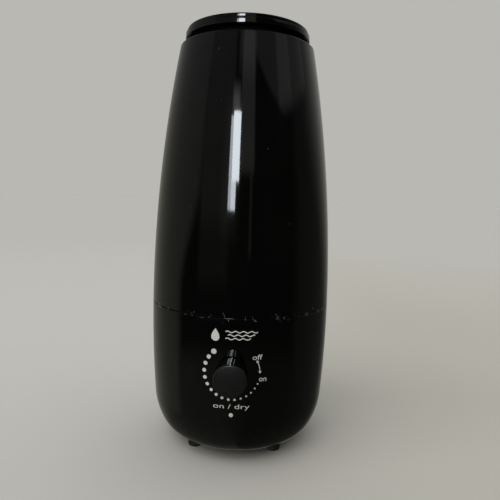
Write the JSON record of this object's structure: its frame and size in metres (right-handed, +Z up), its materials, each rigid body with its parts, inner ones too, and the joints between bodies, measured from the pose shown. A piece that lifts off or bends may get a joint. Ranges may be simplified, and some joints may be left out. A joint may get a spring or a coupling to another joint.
{
  "type": "cool mist humidifier",
  "caption": "Tall rounded ultrasonic humidifier: lift-off tank with a central mist tube and a turning nozzle lid, on a base with a mist-level knob.",
  "frame": {"origin": "centre of the whole object's footprint, on the surface that the feet stand on; the round body's axis is 9.95 mm behind it", "axes": "+Z up along the body, -Y towards the user who faces the knob, +X to that user's right"},
  "size_m": [0.165, 0.1849, 0.3753],
  "materials": {
    "gloss_black": "high-gloss injection-moulded black ABS",
    "satin_black": "satin black ABS",
    "black_rubber": "soft black rubber",
    "silicone": "translucent grey silicone",
    "milky_plastic": "natural white polypropylene",
    "steel": "bright zinc-plated steel",
    "aluminium": "plain extruded aluminium",
    "circuit_board": "green solder-masked glass-epoxy board",
    "dark_component": "moulded black component body",
    "copper_winding": "enamelled copper wire",
    "piezo": "silvered piezo disc with a coated water face",
    "lens": "frosted clear light guide",
    "led": "tinted clear resin"
  },
  "bodies": {
    "base": {"foot_front_left": "black_rubber", "foot_front_right": "black_rubber", "foot_rear_left": "black_rubber", "foot_rear_right": "black_rubber", "bottom_cover": "satin_black", "cover_screws": "steel", "base_shell": "gloss_black", "water_tray": "satin_black", "transducer_disc": "piezo", "transducer_seal": "silicone", "transducer_clamp": "steel", "transducer_screws": "steel", "float_clip": "satin_black", "fan_housing": "satin_black", "fan_screws": "steel", "air_duct": "satin_black", "driver_board": "circuit_board", "heat_sink": "aluminium", "power_transistor": "dark_component", "driver_coil": "copper_winding", "power_board": "circuit_board", "power_transformer": "dark_component", "power_capacitors": "dark_component", "control_board": "circuit_board", "potentiometer_body": "steel", "indicator_led": "led", "indicator_lens": "lens", "cord_gland": "black_rubber"},
    "dial": {"knob": "satin_black", "potentiometer_shaft": "steel"},
    "float": {"float_disc": "milky_plastic", "float_magnet": "dark_component"},
    "fan": {"fan_impeller": "satin_black"},
    "tank": {"tank_shell": "gloss_black", "tank_floor": "gloss_black", "mist_tube": "satin_black"},
    "filler_cap": {"valve_cap": "satin_black", "valve_cap_gasket": "silicone"},
    "valve": {"valve_plunger": "milky_plastic", "valve_seal": "silicone", "valve_spring": "steel"},
    "lid": {"lid_cover": "gloss_black", "lid_plug": "satin_black", "lid_seal": "silicone"},
    "nozzle": {"mist_nozzle": "gloss_black", "nozzle_ring": "satin_black"}
  },
  "joints": [
    {"name": "knob_turn", "type": "hinge", "parent": "base", "child": "dial", "pos_m": [0, -0.08, 0.0855], "axis": [0, 1, 0], "range_deg": [0, 315]},
    {"name": "float_rise", "type": "slide", "parent": "base", "child": "float", "axis": [0, 0, 1], "range_m": [0, 0.006]},
    {"name": "fan_spin", "type": "hinge", "parent": "base", "child": "fan", "pos_m": [-0.032, 0.00995, 0.027], "axis": [0, 0, 1], "continuous": true},
    {"name": "tank_lift", "type": "slide", "parent": "base", "child": "tank", "axis": [0, 0, 1], "range_m": [0, 0.1]},
    {"name": "filler_cap_turn", "type": "hinge", "parent": "tank", "child": "filler_cap", "pos_m": [0.022, -0.02815, 0.128], "axis": [0, 0, 1], "range_deg": [0, 60]},
    {"name": "valve_plunge", "type": "slide", "parent": "filler_cap", "child": "valve", "axis": [0, 0, 1], "range_m": [-0.004, 0], "deforming": ["valve_spring"]},
    {"name": "lid_lift", "type": "slide", "parent": "tank", "child": "lid", "axis": [0, 0, 1], "range_m": [0, 0.05]},
    {"name": "nozzle_turn", "type": "hinge", "parent": "lid", "child": "nozzle", "pos_m": [0, 0.00995, 0.3634], "axis": [0, 0, 1], "continuous": true}
  ],
  "couplings": [
    {"joint": "valve_plunge", "follows": "tank_lift", "ratio": -0.04}
  ]
}
